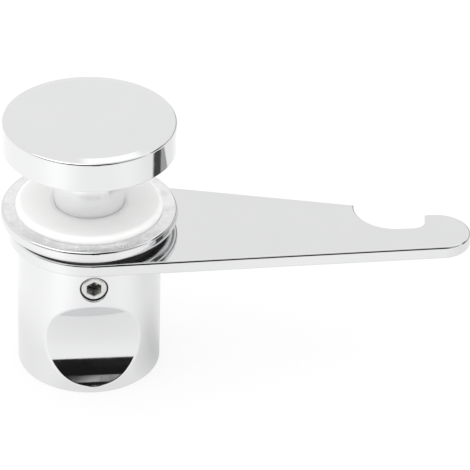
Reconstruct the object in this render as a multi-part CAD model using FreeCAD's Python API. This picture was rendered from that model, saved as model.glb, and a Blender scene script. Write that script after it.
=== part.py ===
import FreeCAD, Part
import math
import os

# Hook bolt for a frameless glass door: a round knob outside, a grip with thumb scoops and
# a hooked lever inside, both fixed to one stem that turns in a flanged bush in the glass.
# Millimetres. +Z runs up the stem to the knob, +X towards the hook, -Y to the set screw.
# The origin is the centre of the grip's foot.

# Grip
grip_diameter = 32.0
grip_foot_chamfer = 0.5
grip_top_chamfer = 0.3
scoop_height = 21.3
scoop_depth = 3.9
scoop_edge_chamfer = 0.7
land_below_scoop = 1.75
land_above_scoop = 8.95

# Lever
lever_thickness = 3.0
lever_edge_chamfer = 0.2
head_radius = 17.85
nose_reach = 77.0
nose_offset = 8.4
nose_radius = 7.0
nose_corner_radius = 0.6
notch_lip_setback = 17.3
notch_lip_offset = 3.6
notch_radius = 8.6
notch_floor_offset = 6.7
notch_wall_setback = 2.25
notch_corner_radius = 3.7
notch_lip_radius = 0.4

# Stem
stem_diameter = 15.5
stem_across_flats = 11.5
stem_end_chamfer = 0.4
stem_below_screw = 5.1
flats_spare = 0.2
stem_bore_spare = 0.8
spigot_diameter = 10.0
spigot_length = 4.0
spigot_chamfer = 0.5

# Knob
knob_diameter = 38.0
knob_side_height = 6.8
knob_foot_chamfer = 0.3
shoulder_width = 2.2
shoulder_drop = 0.5

# Knob washer, seated in the knob's recess
knob_washer_diameter = 31.0
knob_washer_thickness = 2.0
knob_recess_depth = 0.8
knob_washer_chamfer = 0.4

# Glass: the thickest that the bolt holds, and how far the knob closes up for thin glass
glass_space = 12.2
knob_travel = 4.2

# Bush
flange_diameter = 32.6
flange_thickness = 1.6
flange_edge_chamfer = 0.8
hub_wall = 2.92
bush_mouth_chamfer = 0.9

# Cover ring and the washer that the lever turns on
ring_diameter = 39.4
ring_thickness = 3.3
ring_top_chamfer = 0.3
ring_foot_chamfer = 1.0
ring_lift = 1.1
turn_washer_diameter = 34.6
turn_washer_thickness = 1.5

# Set screw, M6 with a 3 mm hexagon socket
screw_diameter = 6.0
screw_recess = 0.25
screw_below_grip_top = 4.4
socket_across_flats = 3.0
socket_depth = 3.5
screw_face_chamfer = 0.6
cup_diameter = 3.0
cup_lip = 0.3
cup_degrees = 45.0
screw_mouth_chamfer = 0.2

# Clearances: on the radius, or on each side of a flat
running_clearance = 0.08
sliding_clearance = 0.05
seat_clearance = 0.05
thread_clearance = 0.05
flat_clearance = 0.08

# Levels and places that follow from the sizes
grip_height = land_below_scoop + scoop_height + land_above_scoop
lever_top = grip_height + lever_thickness
ring_bottom = lever_top + ring_lift
ring_top = ring_bottom + ring_thickness
flange_top = ring_top + flange_thickness
knob_washer_bottom = flange_top + glass_space
knob_bottom = knob_washer_bottom + knob_washer_thickness - knob_recess_depth
recess_ceiling = knob_bottom + knob_recess_depth
screw_level = grip_height - screw_below_grip_top
stem_end = screw_level - stem_below_screw
stem_bore_floor = stem_end - knob_travel - stem_bore_spare
flats_top = lever_top + knob_travel + flats_spare
scoop_level = land_below_scoop + scoop_height / 2
scoop_radius = ((scoop_height / 2) ** 2 + scoop_depth**2) / (2 * scoop_depth)
stem_bore_radius = stem_diameter / 2 + sliding_clearance
bush_bore_radius = stem_diameter / 2 + running_clearance
hub_radius = bush_bore_radius + hub_wall
screw_point = stem_across_flats / 2
screw_length = grip_diameter / 2 - screw_recess - screw_point

# Two places nearer than this are the same
same_place = 1e-4

X = FreeCAD.Vector(1, 0, 0)
Y = FreeCAD.Vector(0, 1, 0)
Z = FreeCAD.Vector(0, 0, 1)


def at(x, y, z):
    return FreeCAD.Vector(x, y, z)


def arc(start, middle, end):
    return Part.Arc(start, middle, end).toShape()


def ring_of(outer_radius, inner_radius, low, high):
    """A plain ring about the Z axis."""
    outside = Part.makeCylinder(outer_radius, high - low, at(0, 0, low), Z)
    inside = Part.makeCylinder(inner_radius, high - low, at(0, 0, low), Z)
    return outside.cut(inside)


def circles_at(solid, level, radius):
    """The solid's circular edges about the Z axis at a level."""
    found = []
    for edge in solid.Edges:
        if edge.Degenerated or not isinstance(edge.Curve, Part.Circle):
            continue
        level_fits = abs(edge.Curve.Center.z - level) < same_place
        size_fits = abs(edge.Curve.Radius - radius) < same_place
        if level_fits and size_fits:
            found.append(edge)
    return found


def flats_cutter(across, low, high):
    """Two blocks that leave a bar's middle, as thick as the distance across its flats."""
    reach = stem_diameter
    height = high - low
    front = Part.makeBox(2 * reach, reach, height, at(-reach, -across / 2 - reach, low))
    back = Part.makeBox(2 * reach, reach, height, at(-reach, across / 2, low))
    return front.fuse(back)


def make_grip():
    """Turned bar with a thumb scoop on each side, bored from above for the stem."""
    radius = grip_diameter / 2
    body = Part.makeCylinder(radius, grip_height)
    for side in (-1, 1):
        body = body.cut(scoop_cutter(side))
    scoop_edges = [edge for edge in body.Edges if is_saddle(edge)]
    body = body.makeChamfer(scoop_edge_chamfer, scoop_edges)
    body = body.makeChamfer(grip_foot_chamfer, circles_at(body, 0, radius))
    body = body.makeChamfer(grip_top_chamfer, circles_at(body, grip_height, radius))
    bore_depth = grip_height - stem_bore_floor
    body = body.cut(Part.makeCylinder(stem_bore_radius, bore_depth, at(0, 0, stem_bore_floor), Z))
    hole_radius = screw_diameter / 2 + thread_clearance
    hole = Part.makeCylinder(hole_radius, radius, at(0, -radius, screw_level), Y)
    mouth_start = at(0, -radius, screw_level)
    mouth_depth = screw_mouth_chamfer + radius - math.sqrt(radius**2 - hole_radius**2)
    mouth = Part.makeCone(hole_radius + mouth_depth, hole_radius, mouth_depth, mouth_start, Y)
    return body.cut(hole.fuse(mouth))


def scoop_cutter(side):
    """A roller, level with the scoop and square to the screw, that dips into one side."""
    radius = grip_diameter / 2
    roller_y = side * (radius - scoop_depth + scoop_radius)
    return Part.makeCylinder(scoop_radius, grip_diameter, at(-radius, roller_y, scoop_level), X)


def is_saddle(edge):
    """True for the edges where a scoop leaves the grip's outside."""
    return not isinstance(edge.Curve, (Part.Line, Part.Circle))


def lever_outline():
    """Head and nose circles joined by a tangent in front; a tapered back, then the notch."""
    nose = at(nose_reach, -nose_offset, 0)
    span = math.hypot(nose_reach, nose_offset)
    lean = math.atan2(-nose_offset, nose_reach)
    front = lean - math.acos((head_radius - nose_radius) / span)
    front_way = at(math.cos(front), math.sin(front), 0)
    head_front = front_way * head_radius
    nose_front = nose + front_way * nose_radius
    nose_tip = nose + X * nose_radius
    nose_top = nose + Y * nose_radius

    lip = at(nose_reach - notch_lip_setback, notch_lip_offset, 0)
    back = math.atan2(lip.y, lip.x) + math.acos(head_radius / lip.Length)
    head_back = at(math.cos(back), math.sin(back), 0) * head_radius

    notch_y = notch_radius - notch_floor_offset
    half_chord = math.sqrt(notch_radius**2 - (lip.y - notch_y) ** 2)
    notch = at(lip.x + half_chord, notch_y, 0)
    floor_start = notch - Y * notch_radius
    wall_x = nose_reach - notch_wall_setback
    floor_end = at(wall_x - notch_corner_radius, floor_start.y, 0)
    corner = floor_end + Y * notch_corner_radius
    wall_start = corner + X * notch_corner_radius
    wall_end = at(wall_x, nose_top.y, 0)
    diagonal = at(1, -1, 0).normalize() * notch_corner_radius
    lip_turn = math.atan2(lip.y - notch.y, lip.x - notch.x) % (2 * math.pi)
    sweep = (lip_turn + 1.5 * math.pi) / 2
    notch_middle = notch + at(math.cos(sweep), math.sin(sweep), 0) * notch_radius

    edges = [
        arc(head_back, X * -head_radius, head_front),
        Part.makeLine(head_front, nose_front),
        arc(nose_front, nose_tip, nose_top),
        Part.makeLine(nose_top, wall_end),
        Part.makeLine(wall_end, wall_start),
        arc(wall_start, corner + diagonal, floor_end),
        Part.makeLine(floor_end, floor_start),
        arc(floor_start, notch_middle, lip),
        Part.makeLine(lip, head_back),
    ]
    return Part.Wire(edges), lip, wall_end


def make_lever():
    """Flat plate with broken edges and a two-flat hole that the stem drives."""
    outline, lip, wall_end = lever_outline()
    plate = Part.Face(outline).extrude(Z * lever_thickness)
    plate = plate.makeFillet(notch_lip_radius, upright_edges(plate, lip))
    plate = plate.makeFillet(nose_corner_radius, upright_edges(plate, wall_end))
    rims = [edge for edge in plate.Edges if is_level(edge)]
    plate = plate.makeChamfer(lever_edge_chamfer, rims)
    hole = Part.makeCylinder(stem_bore_radius, lever_thickness)
    hole = hole.cut(flats_cutter(stem_across_flats + 2 * flat_clearance, 0, lever_thickness))
    plate = plate.cut(hole)
    plate.translate(Z * grip_height)
    return plate


def upright_edges(solid, place):
    """The solid's upright edges above a point of its outline."""
    found = []
    for edge in solid.Edges:
        ends = [vertex.Point for vertex in edge.Vertexes]
        near = all(math.hypot(end.x - place.x, end.y - place.y) < same_place for end in ends)
        if near:
            found.append(edge)
    return found


def is_level(edge):
    """True for an edge that lies flat at one height."""
    return edge.BoundBox.ZLength < same_place


def make_stem():
    """Round bar with two flats at its lower end and a spigot that the knob is pressed on."""
    radius = stem_diameter / 2
    bar = Part.makeCylinder(radius, recess_ceiling - stem_end, at(0, 0, stem_end), Z)
    bar = bar.makeChamfer(stem_end_chamfer, circles_at(bar, stem_end, radius))
    bar = bar.cut(flats_cutter(stem_across_flats, stem_end, flats_top))
    spigot_radius = spigot_diameter / 2
    spigot = Part.makeCylinder(spigot_radius, spigot_length, at(0, 0, recess_ceiling), Z)
    spigot_top = recess_ceiling + spigot_length
    spigot = spigot.makeChamfer(spigot_chamfer, circles_at(spigot, spigot_top, spigot_radius))
    return bar.fuse(spigot)


def make_knob():
    """Turned disc with a straight side and a sloping shoulder, recessed below."""
    radius = knob_diameter / 2
    shoulder_level = knob_bottom + knob_side_height
    disc = Part.makeCylinder(radius, knob_side_height, at(0, 0, knob_bottom), Z)
    top_radius = radius - shoulder_width
    shoulder = Part.makeCone(radius, top_radius, shoulder_drop, at(0, 0, shoulder_level), Z)
    knob = disc.fuse(shoulder)
    recess_radius = knob_washer_diameter / 2 + seat_clearance
    knob = knob.cut(Part.makeCylinder(recess_radius, knob_recess_depth, at(0, 0, knob_bottom), Z))
    bore_radius = spigot_diameter / 2 + seat_clearance
    bore_depth = spigot_length + seat_clearance
    knob = knob.cut(Part.makeCylinder(bore_radius, bore_depth, at(0, 0, recess_ceiling), Z))
    return knob.makeChamfer(knob_foot_chamfer, circles_at(knob, knob_bottom, radius))


def make_knob_washer():
    """Plastic washer that keeps the knob off the glass."""
    radius = knob_washer_diameter / 2
    bore_radius = stem_diameter / 2 + seat_clearance
    washer = ring_of(radius, bore_radius, knob_washer_bottom, recess_ceiling)
    return washer.makeChamfer(knob_washer_chamfer, circles_at(washer, knob_washer_bottom, radius))


def make_bush():
    """Plastic bush: a flange against the glass and a hub that carries the ring."""
    flange_radius = flange_diameter / 2
    flange = Part.makeCylinder(flange_radius, flange_thickness, at(0, 0, ring_top), Z)
    flange = flange.makeChamfer(flange_edge_chamfer, circles_at(flange, flange_top, flange_radius))
    hub = Part.makeCylinder(hub_radius, ring_thickness, at(0, 0, ring_bottom), Z)
    bush = flange.fuse(hub)
    bush = bush.cut(Part.makeCylinder(bush_bore_radius, flange_top))
    return bush.makeChamfer(bush_mouth_chamfer, circles_at(bush, flange_top, bush_bore_radius))


def make_cover_ring():
    """Plated ring that narrows towards the lever, recessed underneath for the turn washer."""
    radius = ring_diameter / 2
    ring = Part.makeCylinder(radius, ring_thickness, at(0, 0, ring_bottom), Z)
    ring = ring.makeChamfer(ring_top_chamfer, circles_at(ring, ring_top, radius))
    ring = ring.makeChamfer(ring_foot_chamfer, circles_at(ring, ring_bottom, radius))
    bore_radius = hub_radius + seat_clearance
    ring = ring.cut(Part.makeCylinder(bore_radius, ring_thickness, at(0, 0, ring_bottom), Z))
    recess_radius = turn_washer_diameter / 2 + seat_clearance
    recess_depth = turn_washer_thickness - ring_lift
    return ring.cut(Part.makeCylinder(recess_radius, recess_depth, at(0, 0, ring_bottom), Z))


def make_turn_washer():
    """Washer between the ring and the turning lever; it holds the two apart."""
    inner_radius = hub_radius + seat_clearance
    top = lever_top + turn_washer_thickness
    return ring_of(turn_washer_diameter / 2, inner_radius, lever_top, top)


def make_set_screw():
    """Grub screw with a hexagon socket; its cup point bears on the stem's flat."""
    radius = screw_diameter / 2
    face = -screw_point - screw_length
    screw = Part.makeCylinder(radius, screw_length, at(0, face, screw_level), Y)
    screw = screw.makeChamfer(screw_face_chamfer, edges_across(screw, face))
    point_chamfer = radius - cup_diameter / 2
    screw = screw.makeChamfer(point_chamfer, edges_across(screw, -screw_point))
    cup_rim = cup_diameter / 2 - cup_lip
    cup_depth = cup_rim * math.tan(math.radians(cup_degrees))
    cup = Part.makeCone(0, cup_rim, cup_depth, at(0, -screw_point - cup_depth, screw_level), Y)
    return screw.cut(cup).cut(hexagon_socket(face))


def edges_across(solid, place):
    """The solid's edges that lie in one plane square to the Y axis."""
    return [edge for edge in solid.Edges if lies_across(edge, place)]


def lies_across(edge, place):
    box = edge.BoundBox
    return box.YLength < same_place and abs(box.Center.y - place) < same_place


def hexagon_socket(face):
    """Six-sided socket with a drilled cone at its end."""
    corner_radius = socket_across_flats / math.sqrt(3)
    corners = []
    for step in range(7):
        turn = math.radians(30 + 60 * step)
        offset_x = corner_radius * math.cos(turn)
        offset_z = corner_radius * math.sin(turn)
        corners.append(at(offset_x, face, screw_level + offset_z))
    socket = Part.Face(Part.makePolygon(corners)).extrude(Y * socket_depth)
    drill_radius = socket_across_flats / 2
    drill_depth = drill_radius * math.tan(math.radians(30))
    drill = Part.makeCone(drill_radius, 0, drill_depth, at(0, face + socket_depth, screw_level), Y)
    return socket.fuse(drill)


makers = {
    "grip": make_grip,
    "lever": make_lever,
    "set_screw": make_set_screw,
    "stem": make_stem,
    "knob": make_knob,
    "knob_washer": make_knob_washer,
    "bush": make_bush,
    "cover_ring": make_cover_ring,
    "turn_washer": make_turn_washer,
}

os.makedirs("parts", exist_ok=True)
for name, make in makers.items():
    solid = make().removeSplitter()
    solid.exportStep("parts/" + name + ".step")
    print(name, "valid", solid.isValid(), "solids", len(solid.Solids), "volume", round(solid.Volume, 1))
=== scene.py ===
import math

import bpy
import numpy as np
from mathutils import Matrix, Vector
from mathutils.geometry import tessellate_polygon


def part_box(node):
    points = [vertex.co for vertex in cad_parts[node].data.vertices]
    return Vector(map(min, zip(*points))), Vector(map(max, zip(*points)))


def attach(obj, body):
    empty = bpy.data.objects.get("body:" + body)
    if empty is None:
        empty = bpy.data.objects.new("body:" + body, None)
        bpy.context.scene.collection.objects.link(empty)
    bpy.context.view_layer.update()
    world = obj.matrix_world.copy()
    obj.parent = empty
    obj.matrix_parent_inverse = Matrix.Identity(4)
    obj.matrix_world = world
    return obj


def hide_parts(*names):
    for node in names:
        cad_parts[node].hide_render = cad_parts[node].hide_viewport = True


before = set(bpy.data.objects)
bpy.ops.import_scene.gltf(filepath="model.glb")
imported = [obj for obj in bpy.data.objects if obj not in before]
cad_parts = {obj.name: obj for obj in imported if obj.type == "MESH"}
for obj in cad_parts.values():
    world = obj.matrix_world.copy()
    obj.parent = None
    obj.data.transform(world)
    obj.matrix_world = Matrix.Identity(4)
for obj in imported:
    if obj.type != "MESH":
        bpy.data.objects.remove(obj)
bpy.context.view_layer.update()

# Hook bolt for a glass door. Shapes are worked out in millimetres and written in metres.
mm = 0.001
weldStep = 1e-4  # millimetres: points nearer than this are one point
treeWeld = 1e-6  # metres: the same, for the points of a node tree
quarter = math.pi / 2
print("stage: frame loaded,", len(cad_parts), "nodes")


def cadSpan(node):
    # A CAD node's radius, foot and top
    low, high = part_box(node)
    return high.y / mm, low.z / mm, high.z / mm


def unit(vectors):
    return vectors / np.linalg.norm(vectors, axis=-1, keepdims=True)


def stack(*columns):
    return np.stack(np.broadcast_arrays(*columns), axis=-1).astype(float)


# Node trees: one call adds a node with its inputs, one sets or links a socket

def feed(tree, socket, value):
    if isinstance(value, bpy.types.NodeSocket):
        tree.links.new(value, socket)
    else:
        socket.default_value = value


def addNode(tree, kind, inputs=None, **settings):
    node = tree.nodes.new(kind)
    for name, value in settings.items():
        setattr(node, name, value)
    for name, value in (inputs or {}).items():
        feed(tree, node.inputs[name], value)
    return node


def calc(tree, operation, *values):
    return addNode(tree, "ShaderNodeMath", dict(enumerate(values)), operation=operation).outputs[0]


def plus(tree, one, other):
    return calc(tree, "ADD", one, other)


def minus(tree, one, other):
    return calc(tree, "SUBTRACT", one, other)


def times(tree, one, other):
    return calc(tree, "MULTIPLY", one, other)


def blend(tree, share, start, end):
    return plus(tree, start, times(tree, share, minus(tree, end, start)))


def fromAxis(tree, one, other):
    # Distance from an axis, from the two coordinates across it
    return calc(tree, "SQRT", plus(tree, times(tree, one, one), times(tree, other, other)))


def stretch(tree, value, fromLow, fromHigh, toLow, toHigh, smooth=False):
    # Carries a value from one span to another and stops it at the ends
    inputs = {"Value": value, "From Min": fromLow, "From Max": fromHigh, "To Min": toLow, "To Max": toHigh}
    kind = "SMOOTHSTEP" if smooth else "LINEAR"
    return addNode(tree, "ShaderNodeMapRange", inputs, interpolation_type=kind).outputs["Result"]


def split(tree, vector):
    return addNode(tree, "ShaderNodeSeparateXYZ", {0: vector}).outputs


def joined(tree, *parts):
    return addNode(tree, "ShaderNodeCombineXYZ", dict(enumerate(parts))).outputs[0]


# Materials read Object coordinates, so a pattern stays on its piece

def newMaterial(name):
    material = bpy.data.materials.new(name)
    material.use_nodes = True
    return material, material.node_tree


def startMaterial(name, metallic=0.0):
    material, tree = newMaterial(name)
    shader = tree.nodes["Principled BSDF"]
    shader.inputs["Metallic"].default_value = metallic
    return material, tree, shader, addNode(tree, "ShaderNodeTexCoord").outputs["Object"]


def noise(tree, place, scale, detail, turn=0.0, squeeze=(1.0, 1.0, 1.0)):
    inputs = {"Vector": place, "Rotation": (0.0, 0.0, math.radians(turn)), "Scale": squeeze}
    place = addNode(tree, "ShaderNodeMapping", inputs).outputs["Vector"]
    inputs = {"Vector": place, "Scale": scale, "Detail": detail}
    return addNode(tree, "ShaderNodeTexNoise", inputs).outputs["Fac"]


def bump(tree, shader, height, strength, distance):
    node = addNode(tree, "ShaderNodeBump", {"Strength": strength, "Distance": distance, "Height": height})
    feed(tree, shader.inputs["Normal"], node.outputs["Normal"])


def scratches(tree, place, looks):
    # Hair lines: noise drawn out along each direction, with only its peaks kept
    total = None
    for turn in looks["hairTurns"]:
        line = noise(tree, place, *looks["hairNoise"], turn, (1.0, 0.03, 0.3))
        line = stretch(tree, line, 1.0 - looks["hairShare"], 1.0, 0.0, 1.0)
        total = line if total is None else calc(tree, "MAXIMUM", total, line)
    return total


def mixColours(tree, share, first, second):
    return addNode(tree, "ShaderNodeMixRGB", {"Fac": share, "Color1": first, "Color2": second}).outputs["Color"]


def paint(tree, shader, share, grey, looks):
    # From a clean grey to a worn one, each with its red, green and blue a little apart
    tones = [[grey * part for part in looks[kind]] + [1] for kind in ("clean", "worn")]
    feed(tree, shader.inputs["Base Color"], mixColours(tree, share, *tones))


# Looks: a noise gives its scale and detail, a range the part of it that counts, bump its strength and depth
polishedLooks = {"grey": 0.82, "cloudNoise": (90.0, 4.0), "cloudRange": (0.35, 0.75),
                 "roughness": (0.045, 0.095), "rippleNoise": (260.0, 3.0), "hairTurns": (12, 71, 128),
                 "hairNoise": (900.0, 1.0), "hairShare": 0.36, "hairRough": 0.10, "clean": (1, 1, 1.005),
                 "worn": (0.96, 0.965, 0.975), "bump": (0.04, 0.00002)}
scuffedLooks = {"grey": 0.92, "cloudNoise": (420.0, 5.0), "cloudRange": (0.3, 0.7), "roughness": (0.22, 0.40),
                "hairTurns": (8, 50, 95, 140), "hairNoise": (1500.0, 1.0), "hairShare": 0.5, "hairRough": 0.15,
                "clean": (1, 1, 1.01), "worn": (0.86, 0.865, 0.875), "wornRange": (0.4, 0.65),
                "bump": (0.30, 0.00003)}


def chromePlate(name, looks, **changes):
    looks = {**looks, **changes}
    material, tree, shader, place = startMaterial(name, 1.0)
    cloud, hair = noise(tree, place, *looks["cloudNoise"]), scratches(tree, place, looks)
    rough = stretch(tree, cloud, *looks["cloudRange"], *looks["roughness"])
    feed(tree, shader.inputs["Roughness"], plus(tree, rough, times(tree, hair, looks["hairRough"])))
    wear = height = cloud
    if "wornRange" in looks:  # scuffs dull the colour too
        wear = calc(tree, "MAXIMUM", hair, stretch(tree, cloud, *looks["wornRange"], 0.0, 1.0))
    if "rippleNoise" in looks:
        height = noise(tree, place, *looks["rippleNoise"])
    paint(tree, shader, wear, looks["grey"], looks)
    bump(tree, shader, plus(tree, height, hair), *looks["bump"])
    return material


# In metres: the reaches are from the screw's axis, the depths of the painted socket shade are places on the Y
# axis
steelLooks = {"level": 0.0276, "socketShadeReach": (0.00193, 0.00200), "socketShadeDepth": (-0.01572, -0.01562),
              "rimShadeReach": (0.00268, 0.00280), "grainNoise": (1800.0, 4.0), "grainSqueeze": (1.0, 1.0, 0.2),
              "grainRange": (0.3, 0.7), "roughness": (0.14, 0.30), "bright": (0.78, 0.78, 0.77, 1),
              "dull": (0.66, 0.66, 0.655, 1), "socketShadeColour": (0.50, 0.50, 0.49, 1), "rim": (0.16, 0.16, 0.155, 1),
              "bump": (0.15, 0.00003)}


def screwSteel(name, looks):
    # Bright steel, with painted shade darkening the socket in its front end and the thread round it
    material, tree, shader, place = startMaterial(name, 1.0)
    x, y, z = split(tree, place)
    out = fromAxis(tree, x, minus(tree, z, looks["level"]))
    # Painted shade: inside the socket, past its mouth, the steel turns darker
    inSocket = stretch(tree, out, *looks["socketShadeReach"], 1.0, 0.0)
    socketShade = times(tree, inSocket, stretch(tree, y, *looks["socketShadeDepth"], 0.0, 1.0))
    grain = noise(tree, place, *looks["grainNoise"], squeeze=looks["grainSqueeze"])
    feed(tree, shader.inputs["Roughness"], stretch(tree, grain, *looks["grainRange"], *looks["roughness"]))
    colour = mixColours(tree, grain, looks["bright"], looks["dull"])
    colour = mixColours(tree, socketShade, colour, looks["socketShadeColour"])
    # Painted shade: the screw's outer edge, in the gap round it, is darkened nearly to black
    colour = mixColours(tree, stretch(tree, out, *looks["rimShadeReach"], 0.0, 1.0), colour, looks["rim"])
    feed(tree, shader.inputs["Base Color"], colour)
    bump(tree, shader, grain, *looks["bump"])
    return material


plasticLooks = {"ior": 1.49, "milkDepth": 0.005, "milkReach": (1.0, 1.0, 1.0), "cloudNoise": (160.0, 4.0),
                "cloudRange": (0.3, 0.7), "wear": 0.12, "grainNoise": (2600.0, 2.0), "clean": (1, 1, 0.995),
                "worn": (0.96, 0.96, 0.95), "bump": (0.12, 0.00003)}


def mouldedPlastic(name, grey, milk, roughness, looks=plasticLooks):
    material, tree, shader, place = startMaterial(name)
    for socket, value in (("IOR", looks["ior"]), ("Subsurface Weight", milk),
                          ("Subsurface Radius", looks["milkReach"]), ("Subsurface Scale", looks["milkDepth"])):
        shader.inputs[socket].default_value = value
    cloud, grain = noise(tree, place, *looks["cloudNoise"]), noise(tree, place, *looks["grainNoise"])
    rough = stretch(tree, cloud, *looks["cloudRange"], roughness, roughness + looks["wear"])
    feed(tree, shader.inputs["Roughness"], rough)
    paint(tree, shader, cloud, grey, looks)
    bump(tree, shader, grain, *looks["bump"])
    return material


chrome = chromePlate("polishedChrome", polishedLooks)
leverChrome = chromePlate("leverChrome", polishedLooks, grey=0.79)
# The stem's chrome has a higher grey than the rest: painted light that brightens the neck under the knob; its
# rougher satin finish is its own
litStemChrome = chromePlate("litStemChrome", polishedLooks, grey=0.96, roughness=(0.18, 0.26))
ringChrome = chromePlate("ringChrome", polishedLooks, grey=0.80, roughness=(0.05, 0.10))
ringFace = chromePlate("scuffedRingFace", scuffedLooks)
steel = screwSteel("screwSteel", steelLooks)
milkyPlastic = mouldedPlastic("milkyPlastic", grey=0.915, milk=0.25, roughness=0.28)
whitePlastic = mouldedPlastic("whitePlastic", grey=0.84, milk=0.15, roughness=0.35)
blackPlastic = mouldedPlastic("blackPlastic", grey=0.018, milk=0.0, roughness=0.4)
print("stage: materials made")


# Geometry Nodes: every tree has named inputs, works on a grid, and ends in real geometry with its material

def startGroup(name, inputs, result):
    tree = bpy.data.node_groups.new(name, "GeometryNodeTree")
    for label, kind in inputs:
        tree.interface.new_socket(label, in_out="INPUT", socket_type="NodeSocket" + kind)
    tree.interface.new_socket(result, in_out="OUTPUT", socket_type="NodeSocketGeometry")
    return tree, *list(addNode(tree, "NodeGroupInput").outputs)[:len(inputs)]


def gridPlace(tree, rows):
    # Column and row of each point of a grid
    index = addNode(tree, "GeometryNodeInputIndex").outputs[0]
    column = calc(tree, "FLOOR", calc(tree, "DIVIDE", plus(tree, index, 0.5), rows))
    return column, minus(tree, index, times(tree, column, rows))


def changed(tree, kind, geometry, inputs=None, **settings):
    # A node that takes geometry and hands it on changed
    inputs = {"Geometry": geometry, **(inputs or {})}
    return addNode(tree, "GeometryNode" + kind, inputs, **settings).outputs["Geometry"]


def endGroup(tree, geometry, finish):
    real = changed(tree, "RealizeInstances", geometry)
    coated = changed(tree, "SetMaterial", real, {"Material": finish})
    feed(tree, addNode(tree, "NodeGroupOutput").inputs[0], coated)
    return tree


# A turned piece: its half section is spun about the Z axis, and flats may be cut on it

def turningTree():
    tree, section, steps, halfFlat, finish = startGroup("turnedPiece", (
        ("Half Section", "Geometry"), ("Steps Around", "Int"), ("Half Across Flats", "Float"),
        ("Finish", "Material")), "Turned")
    rows = addNode(tree, "GeometryNodeAttributeDomainSize", {"Geometry": section}).outputs["Point Count"]
    grid = addNode(tree, "GeometryNodeMeshGrid", {"Vertices X": plus(tree, steps, 1.0), "Vertices Y": rows})
    column, row = gridPlace(tree, rows)
    turn = times(tree, calc(tree, "DIVIDE", column, steps), 2 * math.pi)
    cosine, sine = calc(tree, "COSINE", turn), calc(tree, "SINE", turn)

    def sampled(value, kind="FLOAT_VECTOR"):
        inputs = {"Geometry": section, "Value": value, "Index": row}
        return addNode(tree, "GeometryNodeSampleIndex", inputs, data_type=kind, domain="POINT").outputs["Value"]

    def named(name, kind="FLOAT_VECTOR"):
        node = addNode(tree, "GeometryNodeInputNamedAttribute", {"Name": name}, data_type=kind)
        return node.outputs["Attribute"]

    def stored(geometry, name, domain, value):
        settings = {"data_type": "FLOAT_VECTOR", "domain": domain}
        return changed(tree, "StoreNamedAttribute", geometry, {"Name": name, "Value": value}, **settings)

    place = split(tree, sampled(addNode(tree, "GeometryNodeInputPosition").outputs[0]))
    facing = split(tree, sampled(named("facing")))
    flat = sampled(named("flat", "FLOAT"), "FLOAT")
    x, y = times(tree, place[0], cosine), times(tree, place[0], sine)
    kept = calc(tree, "MAXIMUM", calc(tree, "MINIMUM", y, halfFlat), times(tree, halfFlat, -1.0))
    cutY = blend(tree, flat, y, kept)
    # Where a flat has moved the wall, its normal points straight across the flats
    cut = calc(tree, "GREATER_THAN", calc(tree, "ABSOLUTE", minus(tree, y, cutY)), 1e-7)
    cut = times(tree, cut, calc(tree, "GREATER_THAN", facing[0], 0.5))
    whole = minus(tree, 1.0, cut)
    facingX = times(tree, whole, times(tree, facing[0], cosine))
    facingY = times(tree, whole, times(tree, facing[0], sine))
    facingY = plus(tree, facingY, times(tree, cut, calc(tree, "SIGN", y)))
    facingZ = times(tree, whole, facing[2])

    mesh = stored(grid.outputs["Mesh"], "turnedFacing", "POINT", joined(tree, facingX, facingY, facingZ))
    mesh = changed(tree, "SetPosition", mesh, {"Position": joined(tree, x, cutY, place[2])})
    mesh = stored(mesh, "cornerFacing", "CORNER", named("turnedFacing"))
    mesh = changed(tree, "MergeByDistance", mesh, {"Distance": treeWeld})
    inputs = {"Mesh": mesh, "Custom Normal": named("cornerFacing")}
    mesh = addNode(tree, "GeometryNodeSetMeshNormal", inputs, mode="FREE", domain="CORNER").outputs["Mesh"]
    for name in ("turnedFacing", "cornerFacing"):
        mesh = changed(tree, "RemoveAttribute", mesh, {"Name": name})
    return endGroup(tree, mesh, finish)


def bakeNodes(obj, tree, inputs):
    # Inputs are set by the socket's identifier, then the result becomes the object's own mesh
    modifier = obj.modifiers.new(tree.name, "NODES")
    modifier.node_group = tree
    for socket in tree.interface.items_tree:
        if socket.in_out == "INPUT" and socket.name in inputs:
            modifier[socket.identifier] = inputs[socket.name]
    bpy.context.view_layer.update()
    evaluated = obj.evaluated_get(bpy.context.evaluated_depsgraph_get())
    mesh = bpy.data.meshes.new_from_object(evaluated)
    obj.modifiers.clear()
    # An empty slot may come before the tree's material
    while mesh.materials and mesh.materials[0] is None:
        mesh.materials.pop(index=0)
    mesh.polygons.foreach_set("material_index", [0] * len(mesh.polygons))
    mesh.name = obj.name
    obj.data = mesh
    return obj


def addObject(name, mesh):
    obj = bpy.data.objects.new(name, mesh)
    bpy.context.scene.collection.objects.link(obj)
    return obj


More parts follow.
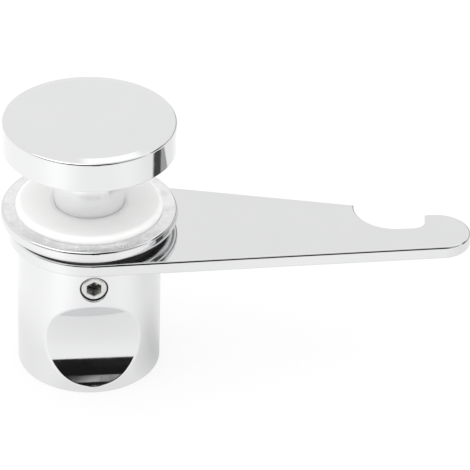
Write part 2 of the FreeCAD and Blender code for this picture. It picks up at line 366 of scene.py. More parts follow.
def halfSection(corners, closed=False, bendStep=14):
    # Corners are (radius, level) or (radius, level, rounding); each straight gets its own normals
    count = len(corners)
    radii = [corner[2] if len(corner) > 2 else 0.0 for corner in corners]
    spots = [Vector(corner[:2]) for corner in corners]
    starts, ends, rows = {}, {}, []
    for k in range(count):
        before, after = spots[k - 1], spots[(k + 1) % count]
        if radii[k]:
            back, forth = (before - spots[k]).normalized(), (after - spots[k]).normalized()
            half = back.angle(forth) / 2
            reach = radii[k] / math.tan(half)
            starts[k], ends[k] = spots[k] + back * reach, spots[k] + forth * reach
        else:
            starts[k] = ends[k] = spots[k]
    for k in range(count if closed else count - 1):
        following = (k + 1) % count
        way = (starts[following] - ends[k]).normalized()
        facing = Vector((way.y, -way.x))
        rows += [(ends[k], facing), (starts[following], facing)]
        if radii[following] and (closed or following < count - 1):
            onward = (spots[(following + 1) % count] - spots[following]).normalized()
            nextFacing = Vector((onward.y, -onward.x))
            bend = facing.angle_signed(nextFacing)
            spread = radii[following] * math.copysign(1, -bend)
            centre = starts[following] - facing * spread
            steps = max(3, round(abs(bend) / math.radians(bendStep)))
            for step in range(1, steps + 1):
                bent = facing.copy()
                bent.rotate(Matrix.Rotation(-bend * step / steps, 2))
                rows.append((centre + bent * spread, bent))
    return rows


def turned(name, rows, material, flats=None, steps=192):
    # Flats hold half the width across them, and for each row whether they cut it
    mesh = bpy.data.meshes.new(name)
    mesh.from_pydata([(spot.x * mm, 0, spot.y * mm) for spot, facing in rows],
                     [(k, k + 1) for k in range(len(rows) - 1)], [])
    facings = mesh.attributes.new("facing", "FLOAT_VECTOR", "POINT")
    facings.data.foreach_set("vector", [n for spot, facing in rows for n in (facing.x, 0.0, facing.y)])
    flat = mesh.attributes.new("flat", "FLOAT", "POINT")
    if flats:
        flat.data.foreach_set("value", [float(cut) for cut in flats["rows"]])
    obj = addObject(name, mesh)
    bakeNodes(obj, lathe, {"Steps Around": steps, "Finish": material,
                           "Half Across Flats": flats["half"] * mm if flats else 0.0})
    print("stage:", name, len(obj.data.polygons), "faces")
    return obj


lathe = turningTree()


# Knob: straight side, small bright rim, sloping shoulder, faint crown

knobSizes = {"crown": 0.5, "rim": 0.55, "foot": 0.35, "shoulder": 2.2, "shoulderBlend": 2.5, "drop": 0.42,
             "recess": 0.8, "recessRadius": 15.55, "recessEdge": 0.15, "bore": 5.05, "boreDepth": 4.05}


def makeKnob(sizes):
    radius, low, high = cadSpan("knob")
    edge = high - sizes["crown"]
    ceiling = low + sizes["recess"]
    boreTop = ceiling + sizes["boreDepth"]
    rows = halfSection([
        (0, boreTop), (sizes["bore"], boreTop), (sizes["bore"], ceiling),
        (sizes["recessRadius"], ceiling), (sizes["recessRadius"], low, sizes["recessEdge"]),
        (radius, low, sizes["foot"]), (radius, edge, sizes["rim"]),
        (radius - sizes["shoulder"], edge + sizes["drop"], sizes["shoulderBlend"]),
        (0, high),
    ])
    return turned("knob_turned", rows, chrome)


# Stem: round bar, two flats at its lower end, spigot pressed into the knob

stemSizes = {"acrossFlats": 11.5, "flatsTop": 39.4, "endChamfer": 0.4, "spigotRadius": 5.0,
             "spigotLength": 4.0, "spigotChamfer": 0.5}


def makeStem(sizes):
    radius, low, high = cadSpan("stem")
    shoulder = high - sizes["spigotLength"]
    chamfer, spigot, bevel = sizes["endChamfer"], sizes["spigotRadius"], sizes["spigotChamfer"]
    rows = halfSection([
        (0, low), (radius - chamfer, low), (radius, low + chamfer), (radius, sizes["flatsTop"]),
    ])
    # The ledge over the flats faces down: its first row is cut with them, its second is whole
    ledge = [(Vector((radius, sizes["flatsTop"])), Vector((0, -1)))] * 2
    upper = halfSection([
        (radius, sizes["flatsTop"]), (radius, shoulder), (spigot, shoulder),
        (spigot, high - bevel), (spigot - bevel, high), (0, high),
    ])
    cut = [1] * len(rows) + [1, 0] + [0] * len(upper)
    flats = {"half": sizes["acrossFlats"] / 2, "rows": cut}
    return turned("stem_turned", rows + ledge + upper, litStemChrome, flats)


# Bush: milky flange against the glass, hub down through the ring

bushSizes = {"flange": 1.6, "edge": 1.3, "bore": 7.77, "dish": 1.0, "dishDepth": 0.1,
             "hub": 10.75, "hubEdge": 0.2, "sharpEdge": 0.05}


def makeBush(sizes):
    radius, low, high = cadSpan("bush")
    under = high - sizes["flange"]
    rows = halfSection([
        (sizes["bore"], low), (sizes["hub"], low, sizes["hubEdge"]), (sizes["hub"], under),
        (radius, under, sizes["sharpEdge"]), (radius, high, sizes["edge"]),
        (sizes["bore"] + sizes["dish"], high), (sizes["bore"], high - sizes["dishDepth"], sizes["sharpEdge"]),
    ], closed=True)
    return turned("bush_moulded", rows, milkyPlastic)


# Cover ring: bright rounded side, flat face scuffed by handling

ringSizes = {"topEdge": 0.7, "footEdge": 1.9, "draft": 0.24, "bore": 10.8, "boreEdge": 0.2,
             "recess": 17.35, "recessDepth": 0.4, "recessEdge": 0.1}


def makeRing(sizes):
    radius, low, high = cadSpan("cover_ring")
    ceiling = low + sizes["recessDepth"]
    rows = halfSection([
        (sizes["bore"], ceiling), (sizes["recess"], ceiling), (sizes["recess"], low, sizes["recessEdge"]),
        (radius, low, sizes["footEdge"]), (radius - sizes["draft"], high, sizes["topEdge"]),
        (sizes["bore"], high, sizes["boreEdge"]),
    ], closed=True)
    ring = turned("cover_ring_plated", rows, ringChrome)
    ring.data.materials.append(ringFace)
    # The scuffs are on the flat top alone, and not on its rounded edges
    for polygon in ring.data.polygons:
        if polygon.normal.z > 0.999 and polygon.center.z > (high - 0.01) * mm:
            polygon.material_index = 1
    return ring


# Washers: one in the knob's recess, one that the lever turns on

washerSizes = {"knobBore": 7.8, "knobEdge": 0.4, "turnBore": 10.8, "turnEdge": 0.15, "softEdge": 0.1}


def makeWashers(sizes):
    made, soft = [], sizes["softEdge"]
    for node, bore, edge, material in (("knob_washer", sizes["knobBore"], sizes["knobEdge"], whitePlastic),
                                       ("turn_washer", sizes["turnBore"], sizes["turnEdge"], blackPlastic)):
        radius, low, high = cadSpan(node)
        rows = halfSection([
            (bore, low, soft), (radius, low, edge), (radius, high, soft), (bore, high, soft),
        ], closed=True)
        made.append(turned(node + "_moulded", rows, material))
    return made


# Other pieces: surfaces are grids of points with their exact normals, welded into one mesh

def newSurface():
    return {"points": [], "normals": [], "faces": []}


def addFace(surface, points, normals):
    across = np.cross(points[2] - points[0], points[-1] - points[1])
    if np.dot(across, np.sum(normals, axis=0)) < 0:
        points, normals = points[::-1], normals[::-1]
    first = len(surface["points"])
    surface["points"].extend(points)
    surface["normals"].extend(normals)
    surface["faces"].append(range(first, first + len(points)))


def addGrid(surface, points, normals, wrap=False):
    # Rows of points; one row of normals serves them all, and wrap closes every row
    points, normals = np.broadcast_arrays(points, normals)
    columns = points.shape[1]
    for i in range(len(points) - 1):
        for j in range(columns if wrap else columns - 1):
            k = (j + 1) % columns
            corners = ((i, j), (i, k), (i + 1, k), (i + 1, j))
            addFace(surface, np.array([points[c] for c in corners]), np.array([normals[c] for c in corners]))


def addFlat(surface, loops, normal):
    # A flat face between an outline and its holes
    every = np.concatenate(loops)
    for corners in tessellate_polygon([[Vector(point) for point in loop] for loop in loops]):
        addFace(surface, every[list(corners)], np.array([normal] * 3, float))


def solidPiece(name, surface, material):
    points = np.array(surface["points"])
    keys = np.round(points / weldStep).astype(np.int64)
    spots, first, place = np.unique(keys, axis=0, return_index=True, return_inverse=True)
    place = place.reshape(-1)
    faces, normals = [], []
    for face in surface["faces"]:
        kept = [c for n, c in enumerate(face) if place[c] != place[face[n - 1]]]
        if len(kept) > 2:
            faces.append([int(place[c]) for c in kept])
            normals.extend(surface["normals"][c] for c in kept)
    mesh = bpy.data.meshes.new(name)
    mesh.from_pydata((points[first] * mm).tolist(), [], faces)
    mesh.polygons.foreach_set("use_smooth", [True] * len(faces))
    mesh.normals_split_custom_set([tuple(normal) for normal in normals])
    mesh.materials.append(material)
    print("stage:", name, len(faces), "faces")
    return addObject(name, mesh)


def lifted(spots, level):
    return stack(spots[:, 0], spots[:, 1], level)


def upright(points):
    # Directions out from the Z axis
    return unit(points * np.array((1, 1, 0)))


def blendWays(start, end, steps):
    # Unit directions from start to end by equal angles: rows of the arc between two tangents
    angle = np.arccos(np.clip(np.sum(start * end, axis=-1), -1, 1))[..., None]
    return np.array([(np.sin((1 - t) * angle) * start + np.sin(t * angle) * end) / np.sin(angle)
                     for t in np.linspace(0, 1, steps + 1)])


# Lever: flat plate cut to a head, a straight front, a round nose and a tapered back with a hook notch.
# Setbacks are from the middle of the nose, offsets and the notch's floor from the line through the stem's axis.

leverSizes = {"headRadius": 17.85, "noseReach": 77.0, "noseOffset": 8.4, "noseRadius": 7.0, "tipRadius": 0.6,
              "lipSetback": 17.3, "lipOffset": 3.6, "lipRadius": 0.4, "notchRadius": 8.6, "notchFloor": 6.7,
              "wallSetback": 2.25, "notchCorner": 3.7, "edge": 0.58, "hole": 7.8, "halfSlot": 5.83}


def arcRun(centre, radius, start, end, inward=False, arcStep=2.5):
    # Points and outward normals along an arc; its ends are in radians, its steps in degrees
    steps = max(5, round(abs(end - start) / math.radians(arcStep)))
    turns = np.linspace(start, end, steps + 1)
    ways = stack(np.cos(turns), np.sin(turns))
    return np.array(centre) + ways * radius, -ways if inward else ways


def leverOutline(sizes):
    head, nose = sizes["headRadius"], np.array((sizes["noseReach"], -sizes["noseOffset"]))
    front = math.atan2(nose[1], nose[0]) - math.acos((head - sizes["noseRadius"]) / np.linalg.norm(nose))
    lip = np.array((nose[0] - sizes["lipSetback"], sizes["lipOffset"]))
    back = math.atan2(lip[1], lip[0]) + math.acos(head / np.linalg.norm(lip))
    notchY = sizes["notchRadius"] - sizes["notchFloor"]
    notch = np.array((lip[0] + math.sqrt(sizes["notchRadius"] ** 2 - (lip[1] - notchY) ** 2), notchY))
    wall = nose[0] - sizes["wallSetback"]
    noseTop = nose[1] + sizes["noseRadius"]
    # The lip's rounding touches the back edge and the notch
    outward = np.array((math.cos(back), math.sin(back)))
    along = np.array((-outward[1], outward[0]))
    inside = lip - outward * sizes["lipRadius"] - notch
    reach = sizes["notchRadius"] + sizes["lipRadius"]
    middle = np.dot(inside, along)
    slide = -middle + math.sqrt(middle ** 2 - np.dot(inside, inside) + reach ** 2)
    lipCentre = notch + inside + along * slide
    lipTurn = math.atan2(*(notch - lipCentre)[::-1])
    notchEnd = math.atan2(*(lipCentre - notch)[::-1])
    if notchEnd > 0:
        notchEnd -= 2 * math.pi
    corner = (wall - sizes["notchCorner"], sizes["notchCorner"] - sizes["notchFloor"])
    tip = sizes["tipRadius"]
    runs = [
        arcRun((0, 0), head, back, 2 * math.pi + front),
        arcRun(nose, sizes["noseRadius"], front, quarter),
        arcRun((wall + tip, noseTop - tip), tip, quarter, 2 * quarter),
        arcRun(corner, sizes["notchCorner"], 0, -quarter, True),
        arcRun(notch, sizes["notchRadius"], -quarter, notchEnd, True),
        arcRun(lipCentre, sizes["lipRadius"], lipTurn, back),
    ]
    return np.concatenate([run[0] for run in runs]), np.concatenate([run[1] for run in runs])


def roundedPlate(surface, outline, outward, low, high, edge, steps=5):
    # Side wall of a plate between its rounded edges; returns the two flat faces' outlines
    turns = np.linspace(0, quarter, steps + 1)
    rows, normals = [], []
    for side, level in ((-1, low), (1, high)):
        for turn in turns[::side]:
            inset, rise = edge * (1 - math.cos(turn)), side * edge * (math.sin(turn) - 1)
            rows.append(lifted(outline - outward * inset, level + rise))
            normals.append(lifted(outward * math.cos(turn), side * math.sin(turn)))
    addGrid(surface, np.array(rows), np.array(normals), wrap=True)
    return rows[0], rows[-1]


def makeLever(sizes):
    _, low, high = cadSpan("lever")
    outline, outward = leverOutline(sizes)
    surface = newSurface()
    lowLoop, highLoop = roundedPlate(surface, outline, outward, low, high, sizes["edge"])
    # The stem's hole: two arcs, and two flats between them that face the middle
    corner = math.asin(sizes["halfSlot"] / sizes["hole"])
    arcs = [arcRun((0, 0), sizes["hole"], middle - corner, middle + corner, True) for middle in (0.0, math.pi)]
    walls = list(arcs)
    for k, side in enumerate((-1.0, 1.0)):
        walls.append((np.array([arcs[k][0][-1], arcs[1 - k][0][0]]), np.array([(0.0, side)] * 2)))
    for spots, ways in walls:
        addGrid(surface, np.array([lifted(spots, low), lifted(spots, high)]), lifted(ways, 0.0))
    slot = np.concatenate([spots for spots, ways in arcs])
    for loop, level, up in ((lowLoop, low, -1), (highLoop, high, 1)):
        addFlat(surface, [loop, lifted(slot, level)], (0, 0, up))
    return solidPiece("lever_plate", surface, leverChrome)


# Grip: turned bar with a rolled scoop on each side, stem bore from above, tapped hole in front

gripSizes = {"scoopHeight": 21.3, "scoopDepth": 3.9, "landBelow": 1.75, "scoopEdge": 1.1, "footEdge": 0.5,
             "topEdge": 0.3, "bore": 7.8, "boreFloor": 17.5, "screwLevel": 27.6, "screwHole": 3.05,
             "screwEdge": 0.3, "split": 23.9}
# Rows and columns of the grip's grids: more of them make its surface finer
gripSteps = {"aroundHalf": 72, "upDown": 18, "upperHalf": 6, "drum": 8, "rim": 8, "scoop": 14,
             "holeHalf": 6, "holeDrum": 4, "holeEdge": 5, "borePatch": 5, "boreBehind": 48, "ends": 5}


def onDrum(radius, turn, level):
    # A point on an upright cylinder; turn 0 faces -Y
    return stack(radius * np.sin(turn), -radius * np.cos(turn), level)


def climb(low, middle, high, steps):
    # Levels with the same number of steps below the middle and above it
    return np.concatenate((np.linspace(low, middle, steps + 1), np.linspace(middle, high, steps + 1)[1:]))


def frameLoop(halfTurn, low, middle, high, acrossSteps, steps):
    # The border of a patch of drum, from its lower left corner anticlockwise, and its bearings from the middle
    across, rise = np.linspace(-halfTurn, halfTurn, acrossSteps + 1), climb(low, middle, high, steps)
    side = np.full(2 * steps, halfTurn)
    turns = np.concatenate((across[:-1], side, across[:0:-1], -side))
    levels = np.concatenate((np.full(acrossSteps, low), rise[:-1], np.full(acrossSteps, high), rise[:0:-1]))
    share = np.where(levels > middle, high - middle, middle - low)
    bearings = np.arctan2((levels - middle) / share, turns / halfTurn)
    return turns, levels, bearings


def drumAround(surface, radius, outward, turns, levels, hole, steps):
    # Cylinder patch between a border, given as turns and levels, and a hole, given as points
    holeTurns = np.arctan2(hole[:, 0], -hole[:, 1])
    grid = np.array([onDrum(radius, turns + (holeTurns - turns) * t, levels + (hole[:, 2] - levels) * t)
                     for t in np.linspace(0, 1, steps + 1)])
    addGrid(surface, grid, upright(grid) * outward, wrap=True)


def scoopRim(radius, edge, roller, rollerY, level, bearings):
    # Centres of the ball that rolls inside the edge, one for each bearing, found by halving
    lean, rise = np.cos(bearings), np.sin(bearings)
    drum, reach = radius - edge, roller + edge
    low = np.zeros_like(bearings)
    high = np.minimum(drum / np.maximum(abs(lean), 1e-9), reach / np.maximum(abs(rise), 1e-9))
    for _ in range(60):  # halvings, past the last digit of a float
        middle = (low + high) / 2
        gap = rollerY - np.sqrt(drum ** 2 - (middle * lean) ** 2) - np.sqrt(reach ** 2 - (middle * rise) ** 2)
        low, high = np.where(gap < 0, middle, low), np.where(gap < 0, high, middle)
    x, z = low * lean, level + low * rise
    return stack(x, -np.sqrt(drum ** 2 - x ** 2), z)


def makeGrip(sizes, steps):
    radius, _, top = cadSpan("grip")
    edge = sizes["scoopEdge"]
    half = sizes["scoopHeight"] / 2
    scoopLevel = sizes["landBelow"] + half
    roller = (half ** 2 + sizes["scoopDepth"] ** 2) / (2 * sizes["scoopDepth"])
    rollerY = radius - sizes["scoopDepth"] + roller

    def toRoller(points):
        return unit((np.array((0, -rollerY, scoopLevel)) - points) * np.array((0, 1, 1)))

    foot, upperTop, bore = sizes["footEdge"], top - sizes["topEdge"], sizes["bore"]
    surface = newSurface()

    # Lower band: each side's border runs inwards to the rounded rim and on over the scoop
    turns, levels, bearings = frameLoop(quarter, foot, scoopLevel, sizes["split"],
                                        steps["aroundHalf"], steps["upDown"])
    centres = scoopRim(radius, edge, roller, rollerY, scoopLevel, bearings)
    outer, inner = upright(centres), toRoller(centres)
    ways = blendWays(outer, inner, steps["rim"])
    start = centres + inner * edge
    rows = []
    for t in np.linspace(1, 0, steps["scoop"] + 1):
        x, z = start[:, 0] * t, scoopLevel + (start[:, 2] - scoopLevel) * t
        rows.append(stack(x, -rollerY + np.sqrt(roller ** 2 - (z - scoopLevel) ** 2), z))
    rows = np.array(rows)
    patch = newSurface()
    drumAround(patch, radius, 1, turns, levels, centres + outer * edge, steps["drum"])
    addGrid(patch, centres + ways * edge, ways, wrap=True)
    addGrid(patch, rows, toRoller(rows), wrap=True)
    for side in (1, -1):
        mirror = np.array((side, side, 1))
        for face in patch["faces"]:
            addFace(surface, *(np.array([patch[kind][c] for c in face]) * mirror
                               for kind in ("points", "normals")))

    # Upper band: a patch round the tapped hole, then plain drum
    allTurns = np.linspace(-math.pi, math.pi, 2 * steps["aroundHalf"] + 1)
    bands = np.linspace(sizes["split"], upperTop, 2 * steps["upperHalf"] + 1)
    belt = bands[steps["upperHalf"]]
    left, right = steps["aroundHalf"] - steps["holeHalf"], steps["aroundHalf"] + steps["holeHalf"]
    patchSteps = (2 * steps["holeHalf"], steps["upperHalf"])
    turns, levels, bearings = frameLoop(allTurns[right], sizes["split"], belt, upperTop, *patchSteps)
    ring = stack(np.cos(bearings), 0.0, np.sin(bearings))
    soft = sizes["screwEdge"]
    centres = np.array((0, 0, sizes["screwLevel"])) + ring * (sizes["screwHole"] + soft)
    centres[:, 1] = -np.sqrt((radius - soft) ** 2 - centres[:, 0] ** 2)
    outer = upright(centres)
    drumAround(surface, radius, 1, turns, levels, centres + outer * soft, steps["holeDrum"])
    ways = blendWays(outer, -ring, steps["holeEdge"])
    addGrid(surface, centres + ways * soft, ways, wrap=True)
    mouth = centres - ring * soft
    inside = mouth.copy()
    inside[:, 1] = -np.sqrt(bore ** 2 - inside[:, 0] ** 2)
    addGrid(surface, np.array([mouth, inside]), -ring, wrap=True)
    rest = np.concatenate((allTurns[right:], allTurns[1:left + 1] + 2 * math.pi))
    drum = np.array([onDrum(radius, rest, z) for z in bands])
    addGrid(surface, drum, upright(drum))

    # Stem bore, with the tapped hole coming in
    boreTurn = steps["borePatch"] * allTurns[right]
    turns, levels, bearings = frameLoop(boreTurn, sizes["split"], belt, top, *patchSteps)
    drumAround(surface, bore, -1, turns, levels, inside, steps["holeDrum"])
    behind = np.linspace(boreTurn, 2 * math.pi - boreTurn, steps["boreBehind"] + 1)
    boreTurns = np.concatenate((np.linspace(-boreTurn, boreTurn, 2 * steps["holeHalf"] + 1), behind[1:-1]))
    levels = climb(sizes["split"], belt, top, steps["upperHalf"])
    wall = np.array([onDrum(bore, behind, z) for z in levels])
    addGrid(surface, wall, -upright(wall))
    wall = np.array([onDrum(bore, boreTurns, z) for z in (sizes["boreFloor"], sizes["split"])])
    addGrid(surface, wall, -upright(wall), wrap=True)
    addFlat(surface, [wall[0]], (0, 0, 1))

    # Foot and top: rounded edges and flat faces
    loops = []
    for side, level, soft in ((-1, 0.0, foot), (1, top, sizes["topEdge"])):
        rows, normals = [], []
        for turn in np.linspace(0, quarter, steps["ends"] + 1):
            spread = radius - soft * (1 - math.cos(turn))
            circle = onDrum(spread, allTurns[:-1], level - side * soft * (1 - math.sin(turn)))
            rows.append(circle)
            normals.append(upright(circle) * math.cos(turn) + np.array((0, 0, side * math.sin(turn))))
        addGrid(surface, np.array(rows), np.array(normals), wrap=True)
        loops.append(rows[-1])
    addFlat(surface, [loops[0]], (0, 0, -1))
    addFlat(surface, [loops[1], onDrum(bore, boreTurns, top)], (0, 0, 1))
    return solidPiece("grip_scooped", surface, chrome)


# Set screw: hexagon socket, chamfered face, cup point and a thread cut by a helix

screwSizes = {"level": 27.6, "core": 2.5, "crest": 3.0, "faceChamfer": 0.5, "collar": 0.1, "runOut": 0.5,
              "socket": 3.0, "socketDepth": 3.5, "drill": 2.94, "drillPoint": 0.8, "lead": 0.16,
              "point": 1.5, "cup": 1.2, "pitch": 1.0, "threadStart": 1.0, "threadTurns": 7.0, "around": 96}


def hexagon(acrossFlats, count):
    # Points round a hexagon that stands on a corner, an equal number on each side
    corner = acrossFlats / math.sqrt(3)
    turns = quarter / 3 + np.arange(7) * math.pi / 3
    corners = stack(np.cos(turns), np.sin(turns)) * corner
    shares = np.arange(count) * 6 / count
    side = shares.astype(int)
    part = (shares - side)[:, None]
    return corners[side] * (1 - part) + corners[side + 1] * part


# Steps to a turn, turns to fade in, depth sunk in the core (metres), half width to a pitch, crease (radians)
threadShape = {"steps": 48.0, "fade": 0.4, "sunk": 0.00005, "halfWidth": 0.43, "sharp": 0.5}


def threadTree(shape):
    # A closed ridge that climbs round the core and runs out to a point at both ends
    tree, plain, turnCount, pitch, core, crest, start, finish = startGroup("screwThread", (
        ("Screw", "Geometry"), ("Turns", "Float"), ("Pitch", "Float"), ("Core Radius", "Float"),
        ("Crest Radius", "Float"), ("Start", "Vector"), ("Finish", "Material")), "Threaded")
    rows = 5
    columns = plus(tree, times(tree, turnCount, shape["steps"]), 1.0)
    grid = addNode(tree, "GeometryNodeMeshGrid", {"Vertices X": columns, "Vertices Y": rows})
    column, row = gridPlace(tree, float(rows))
    row = calc(tree, "MODULO", row, rows - 1.0)
    turns = calc(tree, "DIVIDE", column, shape["steps"])
    ends = calc(tree, "MINIMUM", turns, minus(tree, turnCount, turns))
    full = stretch(tree, ends, 0.0, shape["fade"], 0.0, 1.0)
    onCrest = calc(tree, "LESS_THAN", calc(tree, "ABSOLUTE", minus(tree, row, 1.5)), 1.0)
    root = minus(tree, core, shape["sunk"])
    radius = plus(tree, root, times(tree, times(tree, onCrest, full), minus(tree, crest, root)))
    width = times(tree, times(tree, pitch, shape["halfWidth"]), full)
    across = times(tree, stretch(tree, row, 0.0, 3.0, -1.0, 1.0), width)
    angle = times(tree, turns, 2 * math.pi)
    x = times(tree, radius, calc(tree, "COSINE", angle))
    z = times(tree, times(tree, radius, calc(tree, "SINE", angle)), -1.0)
    spot = joined(tree, x, plus(tree, across, times(tree, turns, pitch)), z)
    mesh = changed(tree, "SetPosition", grid.outputs["Mesh"], {"Position": spot, "Offset": start})
    mesh = changed(tree, "MergeByDistance", mesh, {"Distance": treeWeld})
    crease = addNode(tree, "GeometryNodeInputMeshEdgeAngle").outputs["Unsigned Angle"]
    smooth = calc(tree, "LESS_THAN", crease, shape["sharp"])
    mesh = changed(tree, "SetShadeSmooth", mesh, {"Shade Smooth": smooth}, domain="EDGE")
    join = addNode(tree, "GeometryNodeJoinGeometry", {0: plain})
    feed(tree, join.inputs[0], mesh)
    return endGroup(tree, join.outputs["Geometry"], finish)


def makeScrew(sizes):
    low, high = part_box("set_screw")
    face, tip = low.y / mm, high.y / mm
    count = sizes["around"]
    turns = quarter / 3 + np.arange(count) * 2 * math.pi / count
    circle = stack(np.cos(turns), np.sin(turns))
    socket = hexagon(sizes["socket"], count)
    drill = circle * sizes["drill"] / 2
    core, crest, chamfer, lead = (sizes[name] for name in ("core", "crest", "faceChamfer", "lead"))
    floor, neck = face + sizes["socketDepth"], face + chamfer
    # Loops from the socket's end, out over the face, along the side and round the point to the cup
    loops = [
        (circle * 0, floor + sizes["drillPoint"]), (drill, floor), (socket, floor),
        (socket, face + lead), (socket * (1 + lead / sizes["socket"] * 2), face),
        (circle * (crest - chamfer), face), (circle * crest, neck), (circle * crest, neck + sizes["collar"]),
        (circle * core, neck + sizes["runOut"]), (circle * core, tip - (core - sizes["point"])),
        (circle * sizes["point"], tip), (circle * sizes["cup"], tip), (circle * 0, tip - sizes["cup"]),
    ]
    surface = newSurface()
    for k in range(len(loops) - 1):
        rows = np.array([stack(loop[:, 0], y, loop[:, 1] + sizes["level"]) for loop, y in loops[k:k + 2]])
        ahead = np.roll(rows, -1, axis=1)
        flat = unit(np.cross((rows[1] - rows[0]) + (ahead[1] - ahead[0]), (ahead - rows).sum(axis=0)))
        smooth = unit(flat + np.roll(flat, 1, axis=0))
        for j in range(count):
            n = (j + 1) % count
            ends = (flat[j], flat[j]) if 1 <= k <= 3 else (smooth[j], smooth[n])  # the socket's walls stay flat
            addFace(surface, np.array([rows[0, j], rows[0, n], rows[1, n], rows[1, j]]),
                    np.array([ends[0], ends[1], ends[1], ends[0]]))
    screw = solidPiece("set_screw_hex", surface, steel)
    start = (0.0, (face + sizes["threadStart"]) * mm, sizes["level"] * mm)
    inputs = {"Turns": sizes["threadTurns"], "Pitch": sizes["pitch"] * mm, "Core Radius": core * mm,
              "Crest Radius": crest * mm, "Start": start, "Finish": steel}
    return bakeNodes(screw, threadTree(threadShape), inputs)


print("stage: shapes ready")

knob = makeKnob(knobSizes)
stem = makeStem(stemSizes)
bush = makeBush(bushSizes)
ring = makeRing(ringSizes)
knobWasher, turnWasher = makeWashers(washerSizes)
lever = makeLever(leverSizes)
grip = makeGrip(gripSizes, gripSteps)
screw = makeScrew(screwSizes)

for piece, node, body, slot in (
    (knob, "knob", "outer_knob", "chrome"), (stem, "stem", "outer_knob", "chrome"),
    (knobWasher, "knob_washer", "outer_knob", "white_plastic"),
    (bush, "bush", "door_mount", "clear_white_plastic"), (ring, "cover_ring", "door_mount", "ring_chrome"),
    (turnWasher, "turn_washer", "door_mount", "black_plastic"),
    (lever, "lever", "handle", "chrome"), (grip, "grip", "handle", "chrome"),
    (screw, "set_screw", "handle", "screw_steel"),
):
    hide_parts(node)
    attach(piece, body)
print("stage: pieces ride on their bodies")


# Camera at the photograph's place; the object is turned a little in that view

cameraSizes = {"eye": (0.0, -539.75, 376.62), "yaw": 3.4262, "pitch": 32.530, "roll": 2.0297,
               "objectTurn": 4.0, "sensor": 36.0, "focalPixels": 2887.714, "imagePixels": 470,
               "clip": (0.01, 50.0)}


def makeCamera(sizes):
    data = bpy.data.cameras.new("photoCamera")
    data.sensor_width = sizes["sensor"]
    data.lens = sizes["focalPixels"] / sizes["imagePixels"] * sizes["sensor"]
    data.clip_start, data.clip_end = sizes["clip"]
    camera = addObject("photoCamera", data)
    yaw, pitch, roll = (math.radians(sizes[name]) for name in ("yaw", "pitch", "roll"))
    forward = Vector((math.sin(yaw) * math.cos(pitch), math.cos(yaw) * math.cos(pitch), -math.sin(pitch)))
    right = Vector((math.cos(yaw), -math.sin(yaw), 0.0))
    up = right.cross(forward)
    right, up = right * math.cos(roll) + up * math.sin(roll), up * math.cos(roll) - right * math.sin(roll)
    axes = Matrix((right, up, -forward)).transposed().to_4x4()
    place = Matrix.Translation(Vector(sizes["eye"]) * mm) @ axes
    camera.matrix_world = Matrix.Rotation(math.radians(-sizes["objectTurn"]), 4, "Z") @ place
    bpy.context.scene.camera = camera


# Studio: pale floor, one soft lamp, and a white room with dark gaps. The gaps show only in reflections:
# the room's diffuse light is even, sideLight below and topLight above, and the camera sees plain white.

studioSizes = {"floorSize": 6.0, "floorDrop": 0.00002, "floorGrey": 0.88, "floorGlow": 0.82,
               "footShade": (20.0, 46.0), "sideLight": 1.6, "topLight": 0.9, "lightTurns": (25.0, 60.0),
               "roomGrey": 0.955, "ceilingGlow": 0.78, "ceiling": (60.0, 72.0), "lowSoft": 0.3,
               "lampSize": 0.8, "lampPower": 2.2, "lampPlace": (-0.35, -0.15, 0.95)}
# What the chrome mirrors, in degrees: bearing 0 faces -Y and 90 faces +X; later patches cover earlier ones.
# Each patch gives its middle bearing, half width, lowest and highest edge, softness of the edges, and grey.
roomPatches = (
    (158.0, 18.0, 46.5, 62.0, 4.0, 1.25),
    (-4.0, 72.0, 10.0, 58.0, 8.0, 0.45),
    (-4.0, 36.0, 13.0, 64.0, 4.0, 0.012),
    (4.0, 4.0, 0.0, 20.0, 2.0, 0.012),
    (4.25, 0.12, 27.0, 37.0, 0.45, 0.75),
    (97.0, 17.0, 6.0, 25.0, 1.5, 0.05),
    (138.0, 22.0, 6.0, 24.0, 2.0, 0.42),
    (108.0, 9.0, 8.0, 40.0, 5.0, 0.5),
    (96.5, 6.5, 12.0, 40.0, 2.0, 0.08),
)
# The floor that the chrome mirrors: painted light by bearing, far from the bolt and round its foot, with a
# painted pool of light to the front left, darker behind, and a painted shadow round the foot and under the
# lever
farPaintedLight = {-180: 0.50, -171: 0.60, -162: 1.08, -107: 1.08, -79: 1.09, -61: 1.14, -52: 1.19, -42: 1.21,
            -33: 1.17, -24: 1.09, -15: 1.03, -6: 1.00, 22: 1.00, 40: 1.05, 49: 1.03, 58: 1.00, 67: 0.95,
            80: 0.90, 110: 0.90, 125: 0.92, 135: 0.99, 150: 1.08, 162: 1.08, 171: 0.60, 180: 0.50}
nearPaintedShadow = {-180: 0.88, -97: 0.93, -65: 0.96, -45: 1.01, -25: 0.92, 4: 0.90, 30: 0.93, 41: 0.94,
             54: 0.83, 67: 0.73, 80: 0.63, 92: 0.66, 110: 0.83, 180: 0.88}


def bearingOf(tree, x, y):
    return times(tree, calc(tree, "ARCTAN2", x, times(tree, y, -1.0)), 180 / math.pi)


def glowRamp(tree, bearing, glows):
    # A ramp's colours stop at 1, so the glows are halved in it
    node = addNode(tree, "ShaderNodeValToRGB", {"Fac": stretch(tree, bearing, -180.0, 180.0, 0.0, 1.0)})
    stops = node.color_ramp.elements
    for k, (turn, glow) in enumerate(glows.items()):
        stop = stops[k] if k < 2 else stops.new(1.0)
        stop.position = (turn + 180) / 360
        stop.color = (glow / 2,) * 3 + (1,)
    return times(tree, node.outputs["Color"], 2.0)


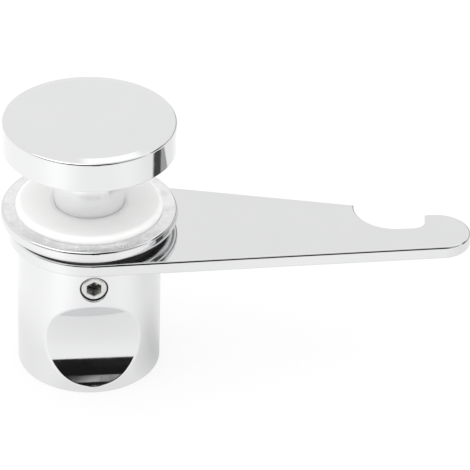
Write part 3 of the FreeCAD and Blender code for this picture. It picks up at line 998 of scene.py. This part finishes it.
def paintRoom(sizes, patches):
    world = bpy.data.worlds.new("studioRoom")
    world.use_nodes = True
    tree = world.node_tree
    bpy.context.scene.world = world
    x, y, z = split(tree, addNode(tree, "ShaderNodeTexCoord").outputs["Generated"])
    height = times(tree, calc(tree, "ARCSINE", z), 180 / math.pi)
    light = stretch(tree, height, *sizes["ceiling"], sizes["roomGrey"], sizes["ceilingGlow"], True)
    bearing = bearingOf(tree, x, y)
    for middle, half, low, high, soft, grey in patches:
        away = calc(tree, "ABSOLUTE", minus(tree, bearing, middle))
        inside = stretch(tree, away, half, half + soft, 1.0, 0.0, True)
        over = stretch(tree, height, low, low + soft * sizes["lowSoft"], 0.0, 1.0, True)
        under = stretch(tree, height, high, high + soft, 1.0, 0.0, True)
        light = blend(tree, times(tree, times(tree, inside, over), under), light, grey)
    path = addNode(tree, "ShaderNodeLightPath").outputs
    even = stretch(tree, height, *sizes["lightTurns"], sizes["sideLight"], sizes["topLight"], True)
    light = blend(tree, path["Is Diffuse Ray"], light, even)
    light = blend(tree, path["Is Camera Ray"], light, 1.0)
    colour = addNode(tree, "ShaderNodeCombineColor", {0: light, 1: light, 2: light}).outputs[0]
    background = tree.nodes["Background"]
    feed(tree, background.inputs["Color"], colour)
    background.inputs["Strength"].default_value = 1.0


def makeFloor(sizes):
    half, drop = sizes["floorSize"] / 2, -sizes["floorDrop"]
    corners = [(-half, -half, drop), (half, -half, drop), (half, half, drop), (-half, half, drop)]
    mesh = bpy.data.meshes.new("paleFloor")
    mesh.from_pydata(corners, [], [(0, 1, 2, 3)])
    floor = addObject("paleFloor", mesh)
    material, tree = newMaterial("paleFloor")
    tree.nodes.clear()
    matt = addNode(tree, "ShaderNodeBsdfDiffuse", {"Color": (sizes["floorGrey"],) * 3 + (1,)})
    x, y, z = split(tree, addNode(tree, "ShaderNodeTexCoord").outputs["Object"])
    # Painted light and painted shadow on the floor, shown only to glossy rays: brighter by bearing, darker
    # round the foot
    bearing = bearingOf(tree, x, y)
    share = stretch(tree, fromAxis(tree, x, y), *(reach * mm for reach in sizes["footShade"]), 0.0, 1.0, True)
    paintedFloorLight = blend(tree, share, glowRamp(tree, bearing, nearPaintedShadow), glowRamp(tree, bearing, farPaintedLight))
    path = addNode(tree, "ShaderNodeLightPath").outputs
    glow = addNode(tree, "ShaderNodeEmission", {"Strength": blend(tree, path["Is Glossy Ray"], 1.0, paintedFloorLight)})
    seen = calc(tree, "MAXIMUM", calc(tree, "MAXIMUM", path["Is Camera Ray"], path["Is Glossy Ray"]),
                path["Is Transmission Ray"])
    inputs = {0: times(tree, seen, sizes["floorGlow"]), 1: matt.outputs[0], 2: glow.outputs[0]}
    mix = addNode(tree, "ShaderNodeMixShader", inputs)
    feed(tree, addNode(tree, "ShaderNodeOutputMaterial").inputs[0], mix.outputs[0])
    mesh.materials.append(material)


def makeLamp(sizes):
    data = bpy.data.lights.new("softLamp", "AREA")
    data.shape, data.size, data.energy = "SQUARE", sizes["lampSize"], sizes["lampPower"]
    lamp = addObject("softLamp", data)
    lamp.location = sizes["lampPlace"]
    lamp.rotation_euler = (-lamp.location).to_track_quat("-Z", "Y").to_euler()


makeCamera(cameraSizes)
paintRoom(studioSizes, roomPatches)
makeFloor(studioSizes)
makeLamp(studioSizes)
bpy.context.scene.view_settings.view_transform = "Standard"
print("stage: camera and studio set")
